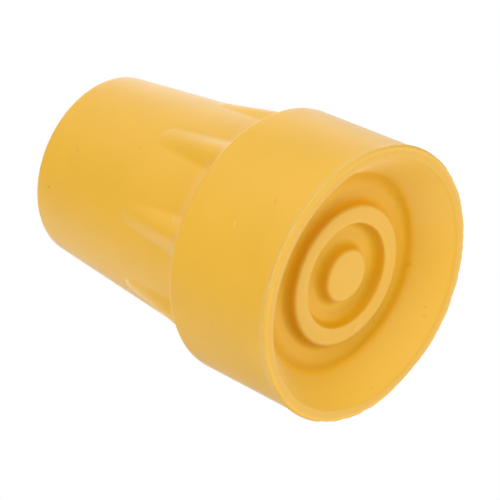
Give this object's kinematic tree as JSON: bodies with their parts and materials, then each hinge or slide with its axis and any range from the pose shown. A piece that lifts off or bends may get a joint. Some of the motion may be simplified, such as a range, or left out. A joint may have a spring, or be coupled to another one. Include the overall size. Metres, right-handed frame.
{
  "type": "rubber cane tip",
  "caption": "Moulded rubber foot for a walking cane: a round socket grips the cane's end, and a hollow lipped tread with a raised ring and boss meets the ground.",
  "frame": {"origin": "centre of the flat lip round the tread, on the surface that the tip stands on", "axes": "+Z along the socket, from the tread to the mouth; +X through the middle of a rib"},
  "size_m": [0.0384, 0.0384, 0.0497],
  "materials": {
    "rubber": "golden yellow moulded rubber, satin"
  },
  "bodies": {
    "root": {"cane_tip": "rubber"}
  },
  "joints": []
}
